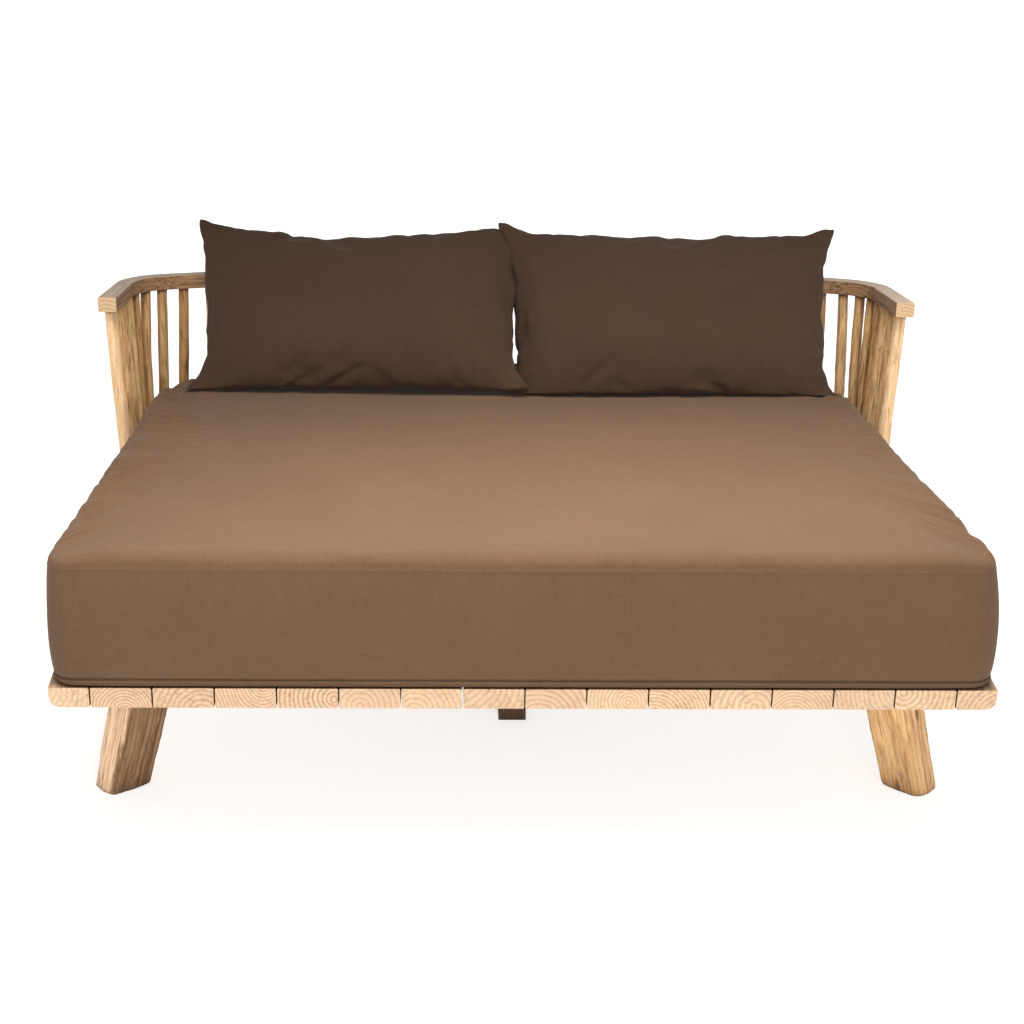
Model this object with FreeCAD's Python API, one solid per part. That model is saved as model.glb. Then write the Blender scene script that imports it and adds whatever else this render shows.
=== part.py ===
"""Low teak daybed: plank platform on splayed legs, a bent spindle back, a mattress and two cushions.

Millimetres, +Z up, floor at Z = 0. X is the width (symmetric), the front edge faces -Y, and the
origin is the centre of the footprint. Plan distances are first laid out from the front edge of the
platform and then shifted by FRONT_Y.
"""
import FreeCAD, Part
import math
import os

os.makedirs("parts", exist_ok=True)

Vector = FreeCAD.Vector
UP = Vector(0, 0, 1)

# ---- overall ----
RAIL_HALF_WIDTH = 940.0       # outer face of each arm of the top rail
PLATFORM_TOP = 295.0          # height of the plank tops above the floor
RAIL_TOP = PLATFORM_TOP + 458.0

# ---- top rail, seen from above ----
RAIL_WIDTH = 42.0
RAIL_HEIGHT = 34.0
RAIL_EDGE_RADIUS = 3.0
ARM_FRONT = 1108.0            # front end of the arms, behind the platform's front edge
BOW_RADIUS = 2400.0           # outer radius of the long bow of the back
BOW_CENTRE = -811.0           # centre of that bow, measured from the front edge
CORNER_RADIUS = 135.0         # outer radius where an arm bends into the back
CORNER_JOINT_X = 820.0        # glue joint between a corner piece and the back
BACK_JOINT_X = 275.0          # glue joint between the middle piece and its neighbours
DOWEL_RADIUS = 4.0
DOWEL_HALF_LENGTH = 18.0
DOWEL_HEIGHT = 25.0           # above the rail's underside, over the spindles' tenons
DOWEL_CLEARANCE = 0.1

# ---- spindles ----
SPINDLE_RADIUS_LOW = 13.5
SPINDLE_RADIUS_HIGH = 12.5
POST_RADIUS_LOW = 16.0
POST_RADIUS_HIGH = 14.5
TENON_RADIUS = 8.0
TENON_CLEARANCE = 0.15
TENON_DEPTH_LOW = 22.0
TENON_DEPTH_HIGH = 16.0
LEAN_OFFSET = 23.0            # how far a spindle's foot stands inside its head
FOOT_SPREAD = 27.0            # how far the feet fan out along the curve, towards the arms
SPREAD_LENGTH = 930.0         # distance from the middle over which the fan grows
BACK_PITCH = 68.0
BACK_PER_SIDE = 12            # spindles on each side of the middle one
CORNER_GAPS = (54.0, 44.0, 38.0, 36.0)
ARM_GAPS = (57.0, 57.0)
POST_GAP = 62.0

# ---- platform ----
FRONT_HALF_WIDTH = 806.0
PLANK_PITCH = 105.2
PLANK_GAP = 2.6
PLANK_THICKNESS = 36.0
PLANK_CHAMFER = 1.6
PLANKS_PER_SIDE = 9
PLATFORM_MARGIN = 9.5         # platform edge outside the rail's centre line
FLARE_END = 1150.0            # where the flared sides meet the outline under the arms
SIDE_ROUND = 18.0             # rounded lower edge of the platform's sides

# ---- bearers and legs ----
BEARER_WIDTH = 120.0
BEARER_THICKNESS = 45.0
BEARER_HALF_LENGTH = 765.0
CORNER_BEARERS = {"front": 241.0, "rear": 1250.0}
CENTRE_BEARERS = {"front": 505.0, "rear": 900.0}
LEG_TOP_X = 698.0
LEG_SPLAY_X = 50.0
LEG_SPLAY_Y = 32.0
LEG_TOP_SIZE = 91.0
LEG_FOOT_SIZE = 80.0
LEG_ROUND = 0.34              # radius of the log's round outer corners, as a share of the size
LEG_EASE = 0.07               # radius of the sawn inner corners, as a share of the size
LEG_TURN = 42.0               # degrees that each corner leg is turned about its own axis
CENTRE_LEG_SIZE = 56.0

# ---- fasteners ----
SCREW_RADIUS = 2.5
SCREW_HEAD_RADIUS = 5.0
SCREW_HEAD_HEIGHT = 3.0
SCREW_LENGTH = 68.0
BOLT_RADIUS = 5.0
BOLT_IN_LEG = 80.0
BOLT_IN_BEARER = 32.0
FASTENER_CLEARANCE = 0.1

# ---- mattress ----
MATTRESS_HEIGHT = 222.0
MATTRESS_FRONT_HALF = 806.0
MATTRESS_BACK_HALF = 830.0
MATTRESS_BACK_RADIUS = 2270.0
MATTRESS_CORNER_RADIUS = 280.0
MATTRESS_FRONT_RADIUS = 55.0
MATTRESS_EDGE_RADIUS = 16.0
COVER_THICKNESS = 3.0
CORE_CLEARANCE = 0.4
SOFT_GAP = 0.5                # air between a soft piece and what it rests on

# ---- back cushions ----
CUSHION_HEIGHT = 440.0
CUSHION_THICKNESS = 180.0
CUSHION_EDGE = 14.0           # thickness at the knife edge
CUSHION_TAPER = 150.0         # from the knife edge to the full thickness
CUSHION_LEAN = 32.0           # degrees from upright
CUSHION_BASE = 1140.0         # the lower edge, behind the platform's front edge
CUSHIONS = {"left_cushion": (-374.0, 752.0), "right_cushion": (412.0, 790.0)}

# ---- worked out from the above ----
DEPTH = BOW_CENTRE + BOW_RADIUS
FRONT_Y = -DEPTH / 2
PLANK_BOTTOM = PLATFORM_TOP - PLANK_THICKNESS
BEARER_BOTTOM = PLANK_BOTTOM - BEARER_THICKNESS
RAIL_BOTTOM = RAIL_TOP - RAIL_HEIGHT
CENTRE_OFFSET = RAIL_WIDTH / 2
MATTRESS_TOP = PLATFORM_TOP + SOFT_GAP + MATTRESS_HEIGHT
TOUCHING = 1.0                # two places closer than this are taken as one


def plan(x, depth, z=0.0):
    """A point from its distance behind the platform's front edge."""
    return Vector(x, FRONT_Y + depth, z)


def save(shape, name):
    shape.exportStep("parts/" + name + ".step")


def mirrored(shape):
    return shape.mirror(Vector(0, 0, 0), Vector(1, 0, 0))


class BackCurve:
    """Plan curve of the back at an inset from the rail's outer face, for X >= 0.

    It runs from the middle of the back along the bow, round the corner and forward down the arm.
    """

    def __init__(self, inset):
        self.bow = BOW_RADIUS - inset
        self.corner = CORNER_RADIUS - inset
        self.side_x = RAIL_HALF_WIDTH - inset
        self.corner_x = self.side_x - self.corner
        reach = self.bow - self.corner
        self.corner_depth = BOW_CENTRE + math.sqrt(reach ** 2 - self.corner_x ** 2)
        self.bow_angle = math.asin(self.corner_x / reach)
        self.bow_length = self.bow * self.bow_angle
        self.corner_length = self.corner * (math.pi / 2 - self.bow_angle)

    def on_bow(self, angle):
        return plan(self.bow * math.sin(angle), BOW_CENTRE + self.bow * math.cos(angle))

    def on_corner(self, angle):
        return plan(self.corner_x + self.corner * math.sin(angle),
                    self.corner_depth + self.corner * math.cos(angle))

    def on_arm(self, depth):
        return plan(self.side_x, depth)

    def bow_edge(self, start, end):
        middle = self.on_bow((start + end) / 2)
        return Part.Arc(self.on_bow(start), middle, self.on_bow(end)).toShape()

    def corner_edge(self):
        middle = self.on_corner((self.bow_angle + math.pi / 2) / 2)
        return Part.Arc(self.on_corner(self.bow_angle), middle, self.on_corner(math.pi / 2)).toShape()

    def at(self, distance):
        """The point and outward direction at a distance along the curve from the middle."""
        if distance <= self.bow_length:
            angle = distance / self.bow
            return self.on_bow(angle), Vector(math.sin(angle), math.cos(angle), 0)
        distance -= self.bow_length
        if distance <= self.corner_length:
            angle = self.bow_angle + distance / self.corner
            return self.on_corner(angle), Vector(math.sin(angle), math.cos(angle), 0)
        distance -= self.corner_length
        return self.on_arm(self.corner_depth - distance), Vector(1, 0, 0)


OUTER = BackCurve(0.0)
INNER = BackCurve(RAIL_WIDTH)
CENTRE = BackCurve(CENTRE_OFFSET)


def line(start, end):
    return Part.LineSegment(start, end).toShape()


def prism(edges, bottom, height):
    """A solid of upright sides on a closed plan outline."""
    face = Part.Face(Part.Wire(Part.__sortEdges__(edges)))
    solid = face.extrude(UP * height)
    solid.translate(UP * bottom)
    return solid


def cut_near(shape, cutters):
    """Cuts only those tools whose boxes reach the shape."""
    near = [tool for tool in cutters if tool.BoundBox.intersect(shape.BoundBox)]
    return shape.cut(Part.makeCompound(near)) if near else shape


def upright_edge(edge):
    """True for an edge that joins a lower corner to an upper one."""
    low = edge.BoundBox.ZMin
    high = edge.BoundBox.ZMax
    return high - low > TOUCHING


# ---- top rail ----

def rail_piece(outer_edges, inner_edges):
    """A rail segment between matching outer and inner plan edges, with softened long edges."""
    outer_ends = (outer_edges[0].Vertexes[0].Point, outer_edges[-1].Vertexes[-1].Point)
    inner_ends = (inner_edges[0].Vertexes[0].Point, inner_edges[-1].Vertexes[-1].Point)
    closing = [line(outer_ends[0], inner_ends[0]), line(outer_ends[1], inner_ends[1])]
    solid = prism(outer_edges + inner_edges + closing, RAIL_BOTTOM, RAIL_HEIGHT)
    end_lines = [(edge.Vertexes[0].Point, edge.Vertexes[1].Point) for edge in closing]
    long_edges = [edge for edge in solid.Edges if not upright_edge(edge) and not on_ends(edge, end_lines)]
    return solid.makeFillet(RAIL_EDGE_RADIUS, long_edges)


def on_ends(edge, end_lines):
    """True for a level edge that lies across one end of a rail segment."""
    middle = edge.valueAt((edge.FirstParameter + edge.LastParameter) / 2)
    flat = Vector(middle.x, middle.y, 0)
    return any(flat.distanceToPoint((start + end) / 2) < TOUCHING for start, end in end_lines)


def joint_angle(x):
    """Angle about the bow's centre of a glue joint whose middle lies at x."""
    return math.asin(x / CENTRE.bow)


def rail_pieces():
    low = joint_angle(BACK_JOINT_X)
    high = joint_angle(CORNER_JOINT_X)
    pieces = {"rail_back_centre": rail_piece([OUTER.bow_edge(-low, low)], [INNER.bow_edge(-low, low)])}
    right = {
        "rail_back": rail_piece([OUTER.bow_edge(low, high)], [INNER.bow_edge(low, high)]),
        "rail_corner": rail_piece(
            [OUTER.bow_edge(high, OUTER.bow_angle), OUTER.corner_edge()],
            [INNER.bow_edge(high, INNER.bow_angle), INNER.corner_edge()]),
        "rail_arm": rail_piece(
            [line(OUTER.on_arm(OUTER.corner_depth), OUTER.on_arm(ARM_FRONT))],
            [line(INNER.on_arm(INNER.corner_depth), INNER.on_arm(ARM_FRONT))]),
    }
    for name, shape in right.items():
        pieces[name + "_right"] = shape
        pieces[name + "_left"] = mirrored(shape)
    return pieces


def dowel_places():
    """Middle point and direction of the dowel across each glue joint, for X >= 0."""
    height = UP * (RAIL_BOTTOM + DOWEL_HEIGHT)
    places = []
    for x in (BACK_JOINT_X, CORNER_JOINT_X):
        angle = joint_angle(x)
        along = Vector(math.cos(angle), -math.sin(angle), 0)
        places.append((CENTRE.on_bow(angle) + height, along))
    places.append((CENTRE.on_arm(CENTRE.corner_depth) + height, Vector(0, 1, 0)))
    return places


def dowels(extra):
    pins = []
    for middle, along in dowel_places():
        half = DOWEL_HALF_LENGTH + extra
        pin = Part.makeCylinder(DOWEL_RADIUS + extra, 2 * half, middle - along * half, along)
        pins += [pin, mirrored(pin)]
    return pins


# ---- spindles ----

def spindle_distances():
    """Distances along the rail's centre line from its middle: back, corner, arm, front post."""
    back = [BACK_PITCH * step for step in range(1, BACK_PER_SIDE + 1)]
    place = back[-1]
    side = []
    for gap in CORNER_GAPS + ARM_GAPS:
        place += gap
        side.append(place)
    return back, side, place + POST_GAP


def spindle_axis(distance):
    """Where a spindle's axis meets the plank tops and the underside of the rail."""
    head, outward = CENTRE.at(distance)
    along = Vector(outward.y, -outward.x, 0)
    spread = FOOT_SPREAD * min(distance / SPREAD_LENGTH, 1.0)
    foot = head - outward * LEAN_OFFSET + along * spread
    return foot + UP * PLATFORM_TOP, head + UP * RAIL_BOTTOM


def level_slab(low, high):
    """A slab between two heights that reaches well past the whole bed."""
    reach = 2 * RAIL_HALF_WIDTH
    return Part.makeBox(2 * reach, 2 * reach, high - low, Vector(-reach, -reach, low))


SPINDLE_SLAB = level_slab(PLATFORM_TOP, RAIL_BOTTOM)


def tenons(foot, head, extra):
    """The round ends that go down into the planks and up into the rail."""
    along = (head - foot).normalize()
    radius = TENON_RADIUS + extra
    lean = math.hypot(LEAN_OFFSET, FOOT_SPREAD) / (RAIL_BOTTOM - PLATFORM_TOP)
    overlap = 2 * SPINDLE_RADIUS_LOW * lean
    low_start = foot - along * (TENON_DEPTH_LOW + extra)
    high_start = head - along * overlap
    return [Part.makeCylinder(radius, TENON_DEPTH_LOW + extra + overlap, low_start, along),
            Part.makeCylinder(radius, TENON_DEPTH_HIGH + extra + overlap, high_start, along)]


def spindle(distance, radius_low, radius_high):
    foot, head = spindle_axis(distance)
    along = (head - foot).normalize()
    length = foot.distanceToPoint(head)
    spare = radius_low * 2
    slope = (radius_high - radius_low) / length
    body = Part.makeCone(radius_low - slope * spare, radius_high + slope * spare,
                         length + 2 * spare, foot - along * spare, along)
    body = body.common(SPINDLE_SLAB)
    for tenon in tenons(foot, head, 0.0):
        body = body.fuse(tenon)
    return body.removeSplitter()


def sockets(distance):
    foot, head = spindle_axis(distance)
    return tenons(foot, head, TENON_CLEARANCE)


# ---- platform ----

def platform_outline():
    """Closed plan outline: straight front, flared sides, bent and bowed back."""
    edge = BackCurve(CENTRE_OFFSET - PLATFORM_MARGIN)
    front_right = plan(FRONT_HALF_WIDTH, 0)
    flare_right = edge.on_arm(FLARE_END)
    right = [line(front_right, flare_right),
             line(flare_right, edge.on_arm(edge.corner_depth)),
             edge.corner_edge()]
    left = [mirrored(item) for item in right]
    front = line(mirror_point(front_right), front_right)
    return [front] + right + left + [edge.bow_edge(-edge.bow_angle, edge.bow_angle)]


def mirror_point(point):
    return Vector(-point.x, point.y, point.z)


def plank_blank(index):
    """One full-length board with eased long edges, before the platform's outline is cut."""
    low_x = index * PLANK_PITCH + PLANK_GAP / 2
    high_x = (index + 1) * PLANK_PITCH - PLANK_GAP / 2
    ease = PLANK_CHAMFER
    section = [(low_x + ease, PLANK_BOTTOM), (high_x - ease, PLANK_BOTTOM),
               (high_x, PLANK_BOTTOM + ease), (high_x, PLATFORM_TOP - ease),
               (high_x - ease, PLATFORM_TOP), (low_x + ease, PLATFORM_TOP),
               (low_x, PLATFORM_TOP - ease), (low_x, PLANK_BOTTOM + ease)]
    points = [plan(x, 0, z) for x, z in section]
    face = Part.Face(Part.makePolygon(points + points[:1]))
    return face.extrude(Vector(0, DEPTH, 0))


def side_rounding(solid):
    """Rounds the lower edge of the platform where its flared sides run."""
    lower = []
    for edge in solid.Edges:
        box = edge.BoundBox
        flared = box.YLength > DEPTH / 2
        if flared and box.ZMax < PLANK_BOTTOM + TOUCHING:
            lower.append(edge)
    return solid.makeFillet(SIDE_ROUND, lower)


def planks(cutters):
    outline = side_rounding(prism(platform_outline(), PLANK_BOTTOM, PLANK_THICKNESS))
    boards = {}
    for number, index in enumerate(range(-PLANKS_PER_SIDE, PLANKS_PER_SIDE), start=1):
        board = plank_blank(index).common(outline)
        boards["plank_%02d" % number] = cut_near(board, cutters)
    return boards


# ---- bearers and legs ----

def bearer_box(depth):
    return Part.makeBox(2 * BEARER_HALF_LENGTH, BEARER_WIDTH, BEARER_THICKNESS,
                        plan(-BEARER_HALF_LENGTH, depth - BEARER_WIDTH / 2, BEARER_BOTTOM))


def leg_section(centre, size, rearward):
    """A turned square: round at the two corners that face outward, sawn at the others."""
    half = size / 2
    corners = [(half, -half, LEG_ROUND), (half, half, LEG_EASE),
               (-half, half, LEG_EASE), (-half, -half, LEG_ROUND)]
    turn_cos = math.cos(math.radians(LEG_TURN))
    turn_sin = math.sin(math.radians(LEG_TURN))

    def placed(x, y):
        """Turned about the leg's axis; rear legs mirror the front ones."""
        return centre + Vector(x * turn_cos - y * turn_sin, -rearward * (x * turn_sin + y * turn_cos), 0)

    arcs = []
    for index, (x, y, share) in enumerate(corners):
        before = corners[index - 1]
        after = corners[(index + 1) % len(corners)]
        radius = share * size
        start = (x + math.copysign(radius, before[0] - x) * (before[0] != x),
                 y + math.copysign(radius, before[1] - y) * (before[1] != y))
        end = (x + math.copysign(radius, after[0] - x) * (after[0] != x),
               y + math.copysign(radius, after[1] - y) * (after[1] != y))
        pull = radius * (1 - math.sqrt(0.5))
        middle = (x - math.copysign(pull, x), y - math.copysign(pull, y))
        arcs.append([placed(*point) for point in (start, middle, end)])
    edges = []
    for index, (start, middle, end) in enumerate(arcs):
        edges.append(line(arcs[index - 1][2], start))
        edges.append(Part.Arc(start, middle, end).toShape())
    return Part.Wire(edges)


def corner_leg(depth, rearward):
    """The right-hand leg under a bearer: splayed outward, and to the front or the rear."""
    top = plan(LEG_TOP_X, depth, BEARER_BOTTOM)
    foot = plan(LEG_TOP_X + LEG_SPLAY_X, depth + rearward * LEG_SPLAY_Y)
    sections = [leg_section(foot, LEG_FOOT_SIZE, rearward), leg_section(top, LEG_TOP_SIZE, rearward)]
    return Part.makeLoft(sections, True, True)


def centre_leg(depth):
    half = CENTRE_LEG_SIZE / 2
    return Part.makeBox(CENTRE_LEG_SIZE, CENTRE_LEG_SIZE, BEARER_BOTTOM, plan(-half, depth - half))


def bolt_places():
    places = []
    for depth in CORNER_BEARERS.values():
        places += [(-LEG_TOP_X, depth), (LEG_TOP_X, depth)]
    places += [(0.0, depth) for depth in CENTRE_BEARERS.values()]
    return places


def bolts(extra):
    """Upright hanger bolts, half in a leg and half in the bearer above it."""
    length = BOLT_IN_LEG + BOLT_IN_BEARER + 2 * extra
    return [Part.makeCylinder(BOLT_RADIUS + extra, length,
                              plan(x, depth, BEARER_BOTTOM - BOLT_IN_LEG - extra))
            for x, depth in bolt_places()]


def bearer_depths():
    return sorted(list(CORNER_BEARERS.values()) + list(CENTRE_BEARERS.values()))


def screw_places():
    """One screw where each board crosses each bearer, clear of the bolts in the middle."""
    places = []
    for index in range(-PLANKS_PER_SIDE + 1, PLANKS_PER_SIDE - 1):
        x = (index + 0.5) * PLANK_PITCH
        side = math.copysign(min(abs(x), BEARER_HALF_LENGTH - 4 * SCREW_HEAD_RADIUS), x)
        places += [(side, depth + BEARER_WIDTH / 4) for depth in bearer_depths()]
    return places


def screws(extra):
    """Countersunk screws driven up through the bearers into the boards."""
    made = []
    for x, depth in screw_places():
        base = plan(x, depth, BEARER_BOTTOM)
        shank = Part.makeCylinder(SCREW_RADIUS + extra, SCREW_LENGTH + extra, base)
        head = Part.makeCone(SCREW_HEAD_RADIUS + extra, SCREW_RADIUS + extra, SCREW_HEAD_HEIGHT, base)
        made.append(shank.fuse(head).removeSplitter())
    return made


# ---- mattress ----

def mattress_outline(inset):
    """Closed plan outline of the mattress, moved inward by inset."""
    back_radius = MATTRESS_BACK_RADIUS - inset
    corner = MATTRESS_CORNER_RADIUS - inset
    side = MATTRESS_BACK_HALF - inset
    corner_x = side - corner
    reach = back_radius - corner
    corner_depth = BOW_CENTRE + math.sqrt(reach ** 2 - corner_x ** 2)
    angle = math.asin(corner_x / reach)
    middle = (angle + math.pi / 2) / 2

    def on_corner(turn):
        return plan(corner_x + corner * math.sin(turn), corner_depth + corner * math.cos(turn))

    front_radius = MATTRESS_FRONT_RADIUS - inset
    front_x = MATTRESS_FRONT_HALF - inset
    corner_start = plan(front_x - front_radius, inset)
    corner_end = plan(front_x, inset + front_radius)
    diagonal = front_radius * (1 - math.cos(math.pi / 4))
    corner_mid = plan(front_x - diagonal, inset + diagonal)
    right = [Part.Arc(corner_start, corner_mid, corner_end).toShape(),
             line(corner_end, on_corner(math.pi / 2)),
             Part.Arc(on_corner(math.pi / 2), on_corner(middle), on_corner(angle)).toShape()]
    left = [mirrored(item) for item in right]
    front = line(mirror_point(corner_start), corner_start)
    back = Part.Arc(mirror_point(on_corner(angle)), plan(0, BOW_CENTRE + back_radius), on_corner(angle))
    return [front] + right + left + [back.toShape()]


def mattress_block(inset, edge_radius):
    bottom = PLATFORM_TOP + SOFT_GAP + inset
    block = prism(mattress_outline(inset), bottom, MATTRESS_HEIGHT - 2 * inset)
    level = [edge for edge in block.Edges if not upright_edge(edge)]
    return block.makeFillet(edge_radius, level)


def mattress_pieces():
    outer = mattress_block(0.0, MATTRESS_EDGE_RADIUS)
    inner = mattress_block(COVER_THICKNESS, MATTRESS_EDGE_RADIUS - COVER_THICKNESS)
    core_inset = COVER_THICKNESS + CORE_CLEARANCE
    core = mattress_block(core_inset, MATTRESS_EDGE_RADIUS - core_inset)
    return {"mattress_cover": outer.cut(inner), "mattress_core": core}


# ---- back cushions ----

def cushion_block(width, inset):
    """A closed pillow form, standing upright on its lower edge: two blunt pyramids back to back."""
    half_width = width / 2 - inset
    low = inset
    high = CUSHION_HEIGHT - inset
    half_edge = CUSHION_EDGE / 2 - inset
    half_full = CUSHION_THICKNESS / 2 - inset
    levels = [(-half_full, CUSHION_TAPER), (-half_edge, 0.0), (half_edge, 0.0), (half_full, CUSHION_TAPER)]
    wires = []
    for y, taper in levels:
        reach = half_width - taper
        points = [Vector(-reach, y, low + taper), Vector(reach, y, low + taper),
                  Vector(reach, y, high - taper), Vector(-reach, y, high - taper)]
        wires.append(Part.makePolygon(points + points[:1]))
    return Part.makeLoft(wires, True, True)


def place_cushion(shape, middle_x):
    """Leans the pillow back and sets its lower edge just above the mattress."""
    shape.rotate(Vector(0, 0, 0), Vector(1, 0, 0), -CUSHION_LEAN)
    edge_drop = CUSHION_EDGE / 2 * math.sin(math.radians(CUSHION_LEAN))
    shape.translate(plan(middle_x, CUSHION_BASE, MATTRESS_TOP + SOFT_GAP + edge_drop))
    return shape


def cushion_pieces(name, middle_x, width):
    outer = cushion_block(width, 0.0)
    inner = cushion_block(width, COVER_THICKNESS)
    fill = cushion_block(width, COVER_THICKNESS + CORE_CLEARANCE)
    return {name + "_cover": place_cushion(outer.cut(inner), middle_x),
            name + "_fill": place_cushion(fill, middle_x)}


# ---- everything ----

def socket_cutters():
    """Every tenon's hole, in the planks and in the rail."""
    back, side, post = spindle_distances()
    tools = []
    for distance in [0.0] + back + side + [post]:
        for tool in sockets(distance):
            tools.append(tool)
            if distance > 0:
                tools.append(mirrored(tool))
    return tools


def save_rail(cutters):
    for name, shape in rail_pieces().items():
        save(cut_near(shape, cutters), name)
    save(Part.makeCompound(dowels(0.0)), "rail_dowels")


def save_spindles():
    back, side, post = spindle_distances()
    back_set = [spindle(0.0, SPINDLE_RADIUS_LOW, SPINDLE_RADIUS_HIGH)]
    for distance in back:
        right = spindle(distance, SPINDLE_RADIUS_LOW, SPINDLE_RADIUS_HIGH)
        back_set += [right, mirrored(right)]
    save(Part.makeCompound(back_set), "back_spindles")
    for number, distance in enumerate(side, start=1):
        right = spindle(distance, SPINDLE_RADIUS_LOW, SPINDLE_RADIUS_HIGH)
        save(right, "right_spindle_%d" % number)
        save(mirrored(right), "left_spindle_%d" % number)
    right_post = spindle(post, POST_RADIUS_LOW, POST_RADIUS_HIGH)
    save(right_post, "right_front_post")
    save(mirrored(right_post), "left_front_post")


def save_understructure(cutters):
    for place, depth in CORNER_BEARERS.items():
        save(cut_near(bearer_box(depth), cutters), "bearer_" + place)
        rearward = 1 if place == "rear" else -1
        right_leg = cut_near(corner_leg(depth, rearward), cutters)
        save(right_leg, place + "_leg_right")
        save(mirrored(right_leg), place + "_leg_left")
    for place, depth in CENTRE_BEARERS.items():
        save(cut_near(bearer_box(depth), cutters), "bearer_centre_" + place)
        save(cut_near(centre_leg(depth), cutters), "centre_leg_" + place)
    save(Part.makeCompound(screws(0.0)), "plank_screws")
    save(Part.makeCompound(bolts(0.0)), "leg_bolts")


def save_soft_parts():
    for name, shape in mattress_pieces().items():
        save(shape, name)
    for name, (middle_x, width) in CUSHIONS.items():
        for piece, shape in cushion_pieces(name, middle_x, width).items():
            save(shape, piece)


def main():
    socket_tools = socket_cutters()
    fastener_tools = screws(FASTENER_CLEARANCE) + bolts(FASTENER_CLEARANCE)
    save_rail(socket_tools + dowels(DOWEL_CLEARANCE))
    save_spindles()
    for name, board in planks(socket_tools + fastener_tools).items():
        save(board, name)
    save_understructure(fastener_tools)
    save_soft_parts()


main()
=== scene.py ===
"""Looks of the teak daybed: wood and fabric materials, soft pieces, camera and studio light."""
import math
import random

import bmesh
import bpy
import numpy as np
from mathutils import Matrix, Vector, noise


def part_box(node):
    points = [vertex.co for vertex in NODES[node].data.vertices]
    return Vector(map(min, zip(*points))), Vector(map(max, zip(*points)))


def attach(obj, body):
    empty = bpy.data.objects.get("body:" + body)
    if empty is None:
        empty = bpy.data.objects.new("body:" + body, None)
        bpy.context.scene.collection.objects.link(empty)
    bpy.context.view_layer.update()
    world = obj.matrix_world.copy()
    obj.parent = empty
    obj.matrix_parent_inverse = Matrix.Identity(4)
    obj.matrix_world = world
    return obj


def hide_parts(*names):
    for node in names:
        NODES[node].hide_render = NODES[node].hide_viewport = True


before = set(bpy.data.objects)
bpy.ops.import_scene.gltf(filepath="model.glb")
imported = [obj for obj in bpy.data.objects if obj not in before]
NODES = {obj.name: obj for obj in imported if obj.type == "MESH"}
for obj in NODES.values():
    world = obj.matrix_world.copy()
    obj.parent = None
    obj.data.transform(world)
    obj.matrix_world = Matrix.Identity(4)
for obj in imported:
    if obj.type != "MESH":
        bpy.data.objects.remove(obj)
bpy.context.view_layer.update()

FRONT_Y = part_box("plank_09")[0].y
PLANK_THICKNESS = 0.036
PLATFORM_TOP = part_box("bearer_front")[1].z + PLANK_THICKNESS
RAIL_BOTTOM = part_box("rail_arm_left")[0].z
MATTRESS_LOW, MATTRESS_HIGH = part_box("mattress_cover")


# ---- camera ----

def make_camera():
    """A 53 mm lens, a little left of the middle, looking down at the bed from the front."""
    focal_length = 52.73
    sideways_shift = 0.0355
    left_of_middle = 0.123
    distance = 2.312
    height = 1.095
    yaw = 0.0157
    pitch = 0.3246
    roll = 0.0098
    forward = Vector((math.sin(yaw) * math.cos(pitch), math.cos(yaw) * math.cos(pitch), -math.sin(pitch)))
    level = Vector((math.cos(yaw), -math.sin(yaw), 0.0))
    upward = level.cross(forward)
    right = level * math.cos(roll) + upward * math.sin(roll)
    up = upward * math.cos(roll) - level * math.sin(roll)
    data = bpy.data.cameras.new("camera")
    data.lens = focal_length
    data.sensor_width = 36.0
    data.shift_x = sideways_shift
    camera = bpy.data.objects.new("camera", data)
    turn = Matrix((right, up, -forward)).transposed().to_4x4()
    place = Matrix.Translation((-left_of_middle, FRONT_Y - distance, PLATFORM_TOP + height))
    camera.matrix_world = place @ turn
    bpy.context.scene.collection.objects.link(camera)
    bpy.context.scene.camera = camera


# ---- node helpers ----

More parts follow.
